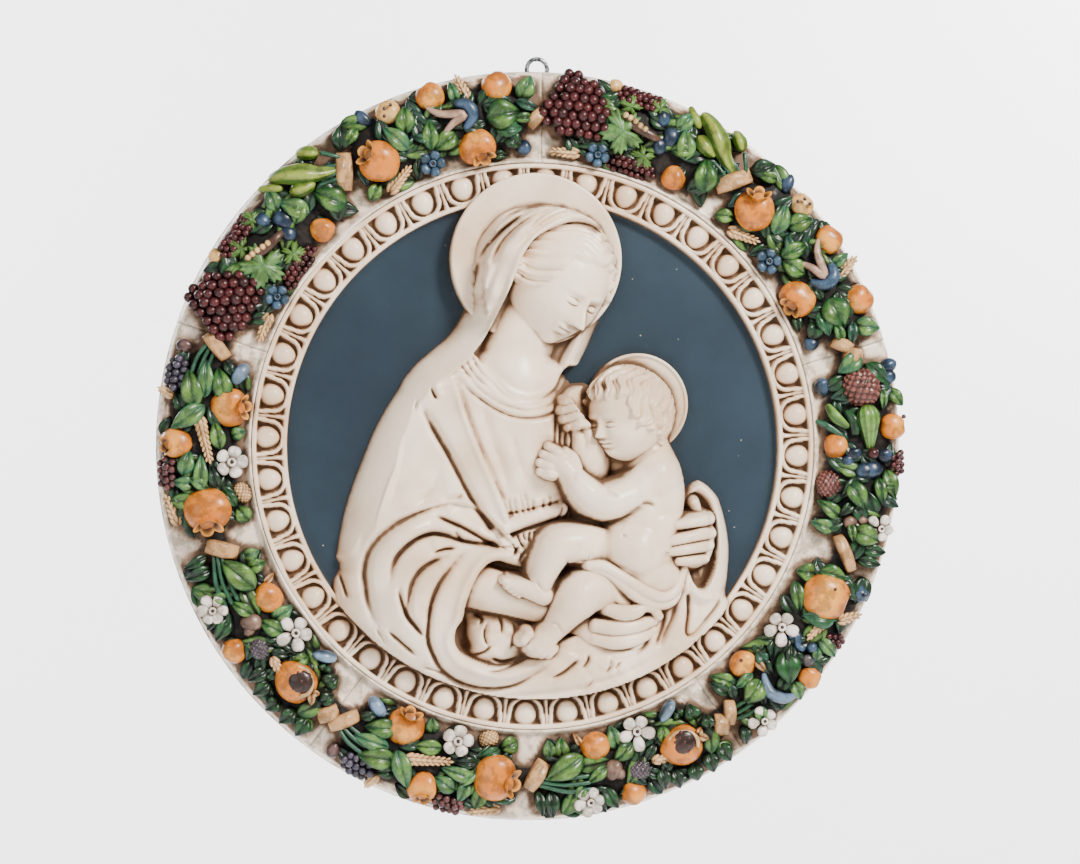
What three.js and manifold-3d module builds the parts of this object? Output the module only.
// A round wall plaque in painted cast plaster: a mother and child in high relief on a blue roundel,
// ringed by an egg-and-dart moulding and by a fruit garland cast in five sectors.
// Millimetres. The back lies on the plane Y = 0 and bears on the wall, the front faces -Y, and +Z is up.
// Everything is modelled on an easel frame first (x right, y up, z towards the viewer) and turned upright once.
import * as THREE from "three";
import { mergeVertices } from "three/addons/utils/BufferGeometryUtils.js";
import Module from "manifold-3d";

const wasm = await Module();
wasm.setup();

// Driving dimensions.
const PLAQUE_RADIUS = 400;
const ROUNDEL_RADIUS = 300;
const SECTORS = 5;
const SECTOR_DEGREES = 360 / SECTORS;
const FIRST_SEAM_DEGREES = 1.2; // clockwise from the top
const JOINT_GAP = 0.4;

// Heights above the wall.
const RIM_HEIGHT = 20;
const GARLAND_GROUND = 42;
const GARLAND_LIP = 50;
const FIELD_HEIGHT = 32;
const FILLET_HEIGHT = 42;
const MOULDING_LIP = 48;
const HALO_HEIGHT = 58;

// Radii of the roundel's rings.
const FIELD_RADIUS = 263;
const FILLET_RADIUS = 270;
const LIP_RADIUS = 293;
const EGGS = 40;

// Facets: enough for the carving to read, few enough for the collision tools.
const RING_STEPS = 40; // one flat facet to each egg of the moulding
const RING_TURN = Math.PI / RING_STEPS;
const BALL_SIDES = 7;
const BALL_RINGS = 4;
const LIMB_SIDES = 5;
const LIMB_END_RINGS = 2;
const FOLD_SIDES = 5;
const FOLD_STEPS = 5;

const rad = THREE.MathUtils.degToRad;

const plaster = (name, color, roughness = 0.5) =>
  new THREE.MeshStandardMaterial({ name, color, roughness, metalness: 0 });
const MATERIALS = {
  relief: plaster("cream_plaster", 0xe3d5c4),
  garland: plaster("painted_plaster", 0xb08a5a, 0.4),
  steel: new THREE.MeshStandardMaterial({ name: "steel", color: 0x8b8b8b, roughness: 0.35, metalness: 1 }),
};

// ---- solids -------------------------------------------------------------------------------------

// A closed three.js geometry, moved by a matrix, as a solid whose faces point out.
function solid(geometry, matrix = new THREE.Matrix4()) {
  const bare = geometry.clone().applyMatrix4(matrix);
  bare.deleteAttribute("normal");
  bare.deleteAttribute("uv");
  const merged = mergeVertices(bare, 1e-3);
  const vertProperties = new Float32Array(merged.attributes.position.array);
  const made = new wasm.Manifold(
    new wasm.Mesh({ numProp: 3, vertProperties, triVerts: new Uint32Array(merged.index.array) }),
  );
  if (made.volume() > 0) return made;
  const turned = new Uint32Array(merged.index.array).reverse();
  return new wasm.Manifold(new wasm.Mesh({ numProp: 3, vertProperties, triVerts: turned }));
}

const join = (solids) => solids.reduce((whole, one) => whole.add(one));

function named(name, material, shape) {
  const mesh = shape.getMesh();
  const geometry = new THREE.BufferGeometry();
  geometry.setAttribute("position", new THREE.BufferAttribute(mesh.vertProperties, 3));
  geometry.setIndex(new THREE.BufferAttribute(mesh.triVerts, 1));
  geometry.computeVertexNormals();
  const made = new THREE.Mesh(geometry, material);
  made.name = name;
  return made;
}

const placed = (position, turn = 0, size = [1, 1, 1]) =>
  new THREE.Matrix4().compose(
    new THREE.Vector3(...position),
    new THREE.Quaternion().setFromEuler(new THREE.Euler(0, 0, rad(turn))),
    new THREE.Vector3(...size),
  );

// A ball with its pole towards the viewer, stretched to three half-sizes and turned in the easel's plane.
const ballGeometry = new THREE.SphereGeometry(1, BALL_SIDES, BALL_RINGS).rotateX(Math.PI / 2);
const ball = (position, size, turn = 0) => solid(ballGeometry, placed(position, turn, size));

// A disc between two heights.
function disc(x, y, radius, low, high, sides = RING_STEPS) {
  const height = high - low;
  const geometry = new THREE.CylinderGeometry(radius, radius, height, sides, 1, false, RING_TURN);
  geometry.rotateX(Math.PI / 2);
  return solid(geometry, placed([x, y, (low + high) / 2]));
}

// A limb: two round ends of different radius joined by a straight taper.
function limb(from, to, fromRadius, toRadius) {
  const start = new THREE.Vector3(...from);
  const along = new THREE.Vector3(...to).sub(start);
  const length = along.length();
  const profile = [];
  for (let i = 0; i <= LIMB_END_RINGS; i++) {
    const a = (i / LIMB_END_RINGS - 1) * (Math.PI / 2);
    profile.push(new THREE.Vector2(fromRadius * Math.cos(a), fromRadius * Math.sin(a)));
  }
  for (let i = 0; i <= LIMB_END_RINGS; i++) {
    const a = (i / LIMB_END_RINGS) * (Math.PI / 2);
    profile.push(new THREE.Vector2(toRadius * Math.cos(a), length + toRadius * Math.sin(a)));
  }
  profile[0].x = 0;
  profile[profile.length - 1].x = 0;
  const up = new THREE.Vector3(0, 1, 0);
  const turn = new THREE.Quaternion().setFromUnitVectors(up, along.normalize());
  const matrix = new THREE.Matrix4().compose(start, turn, new THREE.Vector3(1, 1, 1));
  return solid(new THREE.LatheGeometry(profile, LIMB_SIDES), matrix);
}

// Joints of one arm or leg: [x, y, height, radius] from root to tip.
const limbs = (...joints) =>
  join(joints.slice(1).map((to, i) => limb(joints[i].slice(0, 3), to.slice(0, 3), joints[i][3], to[3])));

// A fold of cloth: a six-sided ridge carried along a smooth line through points [x, y, height].
function fold(points, halfWidth, halfHeight, steps = FOLD_STEPS) {
  const section = new THREE.Shape();
  for (let i = 0; i < FOLD_SIDES; i++) {
    const a = (i / FOLD_SIDES) * 2 * Math.PI;
    const [x, y] = [halfHeight * Math.cos(a), halfWidth * Math.sin(a)];
    if (i) section.lineTo(x, y);
    else section.moveTo(x, y);
  }
  const path = new THREE.CatmullRomCurve3(points.map((p) => new THREE.Vector3(...p)));
  return solid(new THREE.ExtrudeGeometry(section, { steps, extrudePath: path, bevelEnabled: false }));
}

// A slab of relief: an outline raised from low to high with a sloping edge.
function slab(shape, low, high, slope) {
  const geometry = new THREE.ExtrudeGeometry(shape, {
    depth: high - low - slope,
    curveSegments: 3,
    bevelEnabled: true,
    bevelThickness: slope,
    bevelSize: slope,
    bevelOffset: -slope,
    bevelSegments: 1,
  });
  return solid(geometry, placed([0, 0, low]));
}

// ---- the roundel ---------------------------------------------------------------------------------

function roundelGround() {
  const edge = ROUNDEL_RADIUS - JOINT_GAP;
  const section = [
    [0, 0],
    [edge, 0],
    [edge, MOULDING_LIP],
    [LIP_RADIUS, MOULDING_LIP],
    [LIP_RADIUS - 1, FILLET_HEIGHT - 9],
    [FILLET_RADIUS + 1, FILLET_HEIGHT - 9],
    [FILLET_RADIUS, FILLET_HEIGHT],
    [FIELD_RADIUS, FILLET_HEIGHT],
    [FIELD_RADIUS - 1, FIELD_HEIGHT],
    [0, FIELD_HEIGHT],
  ].map(([r, h]) => new THREE.Vector2(r, h));
  return solid(new THREE.LatheGeometry(section, RING_STEPS, RING_TURN).rotateX(Math.PI / 2));
}

// The eggs of the moulding. The darts between them are too fine for this model.
function eggs() {
  const egg = new THREE.SphereGeometry(1, 4, 3, Math.PI / 4).rotateX(Math.PI / 2);
  const middle = (LIP_RADIUS + FILLET_RADIUS) / 2;
  const at = placed([0, middle + 1, FILLET_HEIGHT - 7], 0, [11, 14, 16]);
  return join(
    Array.from({ length: EGGS }, (_, i) => {
      const spin = new THREE.Matrix4().makeRotationZ(rad((360 / EGGS) * i));
      return solid(egg, spin.multiply(at));
    }),
  );
}

// ---- the mother ----------------------------------------------------------------------------------

// Mantle and lap: the outline of the seated figure, closed along the moulding below.
function robe() {
  const outline = new THREE.Shape();
  outline.moveTo(-214, -150);
  outline.splineThru(
    [[-206, -95], [-190, -38], [-168, 20], [-140, 76], [-100, 108], [-74, 145], [-40, 175]].map(
      ([x, y]) => new THREE.Vector2(x, y),
    ),
  );
  outline.lineTo(60, 130);
  outline.lineTo(50, 82);
  outline.lineTo(100, 30);
  outline.lineTo(164, -40);
  outline.lineTo(188, -42);
  outline.lineTo(209, -90);
  outline.lineTo(209, -155);
  const right = Math.atan2(-155, 209);
  const left = Math.atan2(-150, -214);
  outline.absarc(0, 0, FILLET_RADIUS - 6, right, left, true);
  return slab(outline, FIELD_HEIGHT - 20, 56, 9);
}

function motherHead() {
  const veil = new THREE.Shape();
  veil.moveTo(-75, 155);
  veil.splineThru([[-70, 215], [-25, 252], [30, 258], [72, 232], [82, 195], [64, 130], [46, 84]].map(
    ([x, y]) => new THREE.Vector2(x, y),
  ));
  veil.lineTo(-60, 100);
  const halo = disc(-1, 197, 91, FIELD_HEIGHT - 4, HALO_HEIGHT, 22);
  const skull = ball([18, 190, 56], [60, 62, 42], -12);
  const face = ball([28, 162, 62], [46, 56, 38], -22);
  const nose = limb([46, 168, 88], [42, 146, 96], 5, 7);
  const hood = ball([-8, 205, 50], [64, 54, 40], 20);
  const neck = limb([-24, 84, 56], [2, 132, 62], 36, 32);
  const veilEdge = fold([[10, 254, 74], [-40, 222, 82], [-52, 175, 80], [-66, 130, 72], [-108, 92, 64]], 13, 12);
  return join([halo, slab(veil, FIELD_HEIGHT - 20, 66, 8), skull, face, nose, hood, neck, veilEdge]);
}

function motherBody() {
  const shoulder = ball([-132, -30, 36], [62, 118, 34], 14);
  const chest = ball([-38, -8, 36], [88, 112, 42], 8);
  const sleeve = ball([-108, -166, 24], [92, 84, 54]);
  const lap = ball([56, -198, 24], [146, 58, 50]);
  const collar = fold([[-84, 82, 64], [-58, 44, 72], [-14, 32, 76], [34, 50, 70], [48, 82, 60]], 7, 6);
  const mantleEdge = fold([[-112, 60, 64], [-88, 6, 74], [-60, -44, 80], [-34, -100, 76]], 9, 9);
  const belt = fold([[-30, -84, 74], [8, -72, 64], [40, -62, 56]], 7, 6, 3);
  const sleeveFolds = [
    fold([[-34, -104, 76], [-92, -72, 84], [-150, -96, 74], [-172, -150, 66], [-150, -206, 62]], 14, 12),
    fold([[-46, -110, 78], [-104, -112, 82], [-142, -150, 76], [-136, -204, 68], [-90, -240, 62]], 11, 10),
    fold([[-26, -120, 80], [-76, -124, 88], [-100, -170, 88], [-84, -224, 80], [-30, -240, 72], [20, -216, 66]], 12, 12),
  ];
  const cuff = fold([[160, -50, 58], [178, -42, 66], [196, -66, 64], [202, -114, 62], [186, -158, 60]], 9, 10);
  return join([robe(), shoulder, chest, sleeve, lap, collar, mantleEdge, belt, ...sleeveFolds, cuff]);
}

function motherHands() {
  const nearArm = limbs([-76, -136, 74, 22], [-20, -160, 80, 20], [48, -188, 76, 17], [92, -200, 72, 12]);
  const fingers = [-80, -96, -114].map((y, i) =>
    limb([180 - 3 * i, y, 78], [[144, 134, 146][i], y - 4, 96], 7.5, 6.5),
  );
  const palm = ball([182, -98, 64], [16, 28, 18]);
  const thumb = limb([180, -76, 72], [168, -58, 80], 6, 6);
  const breastHand = limb([62, 40, 52], [36, 36, 60], 15, 12);
  return join([nearArm, ...fingers, palm, thumb, breastHand]);
}

// ---- the child -----------------------------------------------------------------------------------

function child() {
  const halo = disc(110, 45, 53, FIELD_HEIGHT - 4, 50, 20);
  const skull = ball([98, 34, 70], [46, 46, 40], -8);
  const chest = ball([120, -44, 64], [38, 48, 32], 20);
  const belly = ball([108, -108, 66], [46, 48, 34]);
  const arm = limbs([124, -36, 80, 19], [64, -56, 96, 17], [28, -22, 98, 11]);
  const hand = ball([14, -16, 94], [17, 15, 11], 40);
  const farLeg = limbs([84, -112, 78, 22], [20, -106, 96, 21], [-4, -148, 94, 11]);
  const farFoot = limb([2, -150, 94], [-34, -142, 96], 11, 7);
  const nearLeg = limbs([104, -150, 78, 24], [44, -150, 98, 24], [6, -192, 96, 12]);
  const nearFoot = limb([6, -194, 96], [-8, -210, 98], 14, 11);
  const cloth = fold([[48, -124, 100], [84, -144, 102], [128, -162, 92], [156, -128, 80]], 9, 7);
  const bundle = limb([78, -174, 88], [116, -177, 90], 11, 9);
  const loose = fold([[58, -132, 98], [78, -158, 92], [70, -196, 80], [92, -214, 70]], 9, 8);
  return join([halo, skull, chest, belly, arm, hand, farLeg, farFoot, nearLeg, nearFoot,
    cloth, bundle, loose]);
}

// ---- the garland ---------------------------------------------------------------------------------

// What grows where, in degrees clockwise from the sector's first seam: [kind, degrees, radius, length, width, turn].
// Lengths and widths are half-sizes, and a turn is counted from the clockwise way round towards the rim.
const GRAPE_SECTOR = [
  ["round", 4, 362, 26, 30, 0], ["round", 14, 384, 30, 13, 0], ["round", 12, 318, 16, 15, 0],
  ["leaf", 16, 350, 40, 26, -40], ["round", 29.5, 380, 36, 14, -45], ["leaf", 30.5, 338, 32, 20, 65],
  ["tie", 36.5, 353, 20, 6, 60], ["round", 42.5, 348, 26, 26, 0], ["round", 48.5, 382, 22, 15, 0],
  ["leaf", 52, 344, 30, 22, 75], ["round", 55.5, 382, 15, 16, 0], ["leaf", 58, 356, 34, 14, -60],
  ["round", 60.5, 323, 20, 20, 0], ["round", 66, 380, 16, 16, 0], ["leaf", 67.5, 348, 30, 22, 0],
];
const CONE_SECTOR = [
  ["round", 5, 385, 20, 13, 0], ["round", 7.5, 355, 20, 28, -20], ["leaf", 13, 350, 24, 40, 0],
  ["round", 14, 385, 14, 14, 0], ["round", 20, 380, 18, 18, 0], ["round", 17, 323, 16, 15, 0],
  ["leaf", 25, 380, 28, 16, -55], ["round", 25, 318, 17, 14, 0], ["round", 30, 384, 15, 14, 0],
  ["leaf", 30, 350, 34, 20, -70], ["tie", 35.8, 350, 24, 6, 55], ["round", 44, 350, 26, 27, 0],
  ["round", 53, 325, 18, 17, 0], ["leaf", 47.5, 378, 30, 18, -40], ["leaf", 58, 358, 28, 20, 90],
  ["round", 57.3, 384, 15, 14, 0], ["round", 63, 323, 17, 16, 0], ["leaf", 65, 350, 34, 20, -60],
];
const POMEGRANATE_SECTOR = [
  ["leaf", 7, 385, 34, 17, 20], ["leaf", 4, 334, 26, 18, -55], ["round", 8.8, 353, 24, 25, 0],
  ["round", 16, 321, 17, 16, 0], ["round", 19, 382, 15, 15, 0], ["leaf", 16, 360, 40, 15, -10],
  ["round", 24.2, 325, 17, 17, 0], ["round", 27.8, 382, 18, 16, 0], ["leaf", 29, 346, 32, 22, 40],
  ["tie", 35, 346, 20, 7, 65], ["round", 42, 351, 26, 26, 0], ["round", 48, 385, 22, 14, 0],
  ["leaf", 50, 358, 34, 18, -20], ["round", 54, 380, 17, 18, 0], ["round", 49.8, 321, 17, 17, 0],
  ["round", 60.2, 325, 20, 20, 0], ["leaf", 61.5, 360, 34, 22, -40],
];
// The ribbon ties that the seams cut through stand at both ends of every sector.
const SEAM_TIES = [["tie", 0, 352, 20, 7, 60], ["tie", SECTOR_DEGREES, 352, 20, 7, 60]];
const FROM_THE_TOP = [GRAPE_SECTOR, CONE_SECTOR, POMEGRANATE_SECTOR, POMEGRANATE_SECTOR, GRAPE_SECTOR];

function frameRing() {
  const section = [
    [ROUNDEL_RADIUS, 0],
    [PLAQUE_RADIUS - 2, 0],
    [PLAQUE_RADIUS, RIM_HEIGHT],
    [PLAQUE_RADIUS - 10, GARLAND_GROUND - 4],
    [PLAQUE_RADIUS - 40, GARLAND_GROUND + 2],
    [ROUNDEL_RADIUS + 10, GARLAND_GROUND],
    [ROUNDEL_RADIUS, GARLAND_LIP],
    [ROUNDEL_RADIUS, 0],
  ].map(([r, h]) => new THREE.Vector2(r, h));
  return solid(new THREE.LatheGeometry(section, RING_STEPS, RING_TURN).rotateX(Math.PI / 2));
}

const leafGeometry = new THREE.OctahedronGeometry(1);
const tieGeometry = new THREE.BoxGeometry(2, 2, 2);
const smallFruit = new THREE.SphereGeometry(1, 6, 3).rotateX(Math.PI / 2);
const largeFruit = new THREE.IcosahedronGeometry(1, 1);
const LARGE_FRUIT = 24;

function growing([kind, degrees, radius, length, width, turn], seam) {
  const spin = new THREE.Matrix4().makeRotationZ(rad(-seam - degrees));
  const thickness = { round: Math.min(length, width, 22) + 8, leaf: 12, tie: 16 }[kind];
  const fruit = Math.min(length, width) > LARGE_FRUIT ? largeFruit : smallFruit;
  const [geometry, low] = { round: [fruit, 4], leaf: [leafGeometry, 2], tie: [tieGeometry, 0] }[kind];
  const at = placed([0, radius, GARLAND_GROUND + low], turn, [length, width, thickness]);
  return solid(geometry, at.premultiply(spin));
}

// The wedge that one sector keeps of the ring, short of the seams by half a joint on each side.
function wedge(seam) {
  const reach = 2 * PLAQUE_RADIUS;
  const half = rad(SECTOR_DEGREES / 2);
  const shape = new THREE.Shape();
  const tip = JOINT_GAP / 2 / Math.sin(half);
  shape.moveTo(0, tip);
  shape.lineTo(-reach * Math.sin(half), tip + reach * Math.cos(half));
  shape.lineTo(reach * Math.sin(half), tip + reach * Math.cos(half));
  const geometry = new THREE.ExtrudeGeometry(shape, { depth: 200, bevelEnabled: false });
  const turned = new THREE.Matrix4().makeRotationZ(rad(-seam) - half);
  return solid(geometry, turned.multiply(placed([0, 0, -50])));
}

function sector(ring, plan, seam) {
  const grown = [...plan, ...SEAM_TIES].map((item) => growing(item, seam));
  return join([ring, ...grown])
    .intersect(wedge(seam))
    .intersect(disc(0, 0, PLAQUE_RADIUS, 0, 150))
    .subtract(disc(0, 0, ROUNDEL_RADIUS, -10, 150));
}

// ---- the hanging eye -----------------------------------------------------------------------------

const EYE_X = 6.6;
const EYE_RADIUS = 11;
const WIRE_RADIUS = 2.4;
const EYE_SPRING = PLAQUE_RADIUS + 4; // where the half-round of the eye starts
const TONGUE = { width: 30, height: 34, thickness: 5, top: PLAQUE_RADIUS - 4 };

// A steel tongue let into the back, with a round-topped wire loop standing above the rim.
function hangingEye() {
  const path = new THREE.CurvePath();
  const [left, right] = [EYE_X - EYE_RADIUS, EYE_X + EYE_RADIUS];
  const foot = TONGUE.top - 8;
  const points = [new THREE.Vector3(left, foot, 0), new THREE.Vector3(left, EYE_SPRING, 0)];
  for (let i = 1; i < 8; i++) {
    const a = Math.PI * (1 - i / 8);
    points.push(new THREE.Vector3(EYE_X + EYE_RADIUS * Math.cos(a), EYE_SPRING + EYE_RADIUS * Math.sin(a), 0));
  }
  points.push(new THREE.Vector3(right, EYE_SPRING, 0), new THREE.Vector3(right, foot, 0));
  points.slice(1).forEach((to, i) => path.add(new THREE.LineCurve3(points[i], to)));
  const wire = new THREE.Shape().absarc(0, 0, WIRE_RADIUS, 0, 2 * Math.PI);
  const loop = new THREE.ExtrudeGeometry(wire, { steps: 14, curveSegments: 3, extrudePath: path });
  const plate = new THREE.BoxGeometry(TONGUE.width, TONGUE.height, TONGUE.thickness - 0.4);
  const middle = TONGUE.top - TONGUE.height / 2;
  return solid(plate, placed([EYE_X, middle, TONGUE.thickness / 2]))
    .add(solid(loop, placed([0, 0, TONGUE.thickness / 2])));
}

function eyePocket() {
  const { width, height, thickness, top } = TONGUE;
  const sides = new THREE.BoxGeometry(width + 1, height + 60, 2 * thickness);
  return solid(sides, placed([EYE_X, top - height - 0.5 + (height + 60) / 2, 0]));
}

// ---- assembly ------------------------------------------------------------------------------------

const easel = new THREE.Group();
const inField = disc(0, 0, ROUNDEL_RADIUS - JOINT_GAP, 0, 200);
const roundel = join([roundelGround(), eggs(), motherBody(), motherHead(), motherHands(), child()]);
easel.add(named("relief_roundel", MATERIALS.relief, roundel.intersect(inField)));

const ring = frameRing();
const pocket = eyePocket();
FROM_THE_TOP.forEach((plan, i) => {
  const cast = sector(ring, plan, FIRST_SEAM_DEGREES + i * SECTOR_DEGREES);
  const atTheEye = i === 0 || i === SECTORS - 1;
  const shape = atTheEye ? cast.subtract(pocket) : cast;
  easel.add(named(`garland_sector_${i + 1}`, MATERIALS.garland, shape));
});
easel.add(named("hanging_eye", MATERIALS.steel, hangingEye()));

const plaque = new THREE.Group();
easel.rotation.x = Math.PI / 2;
plaque.add(easel);

export default plaque;
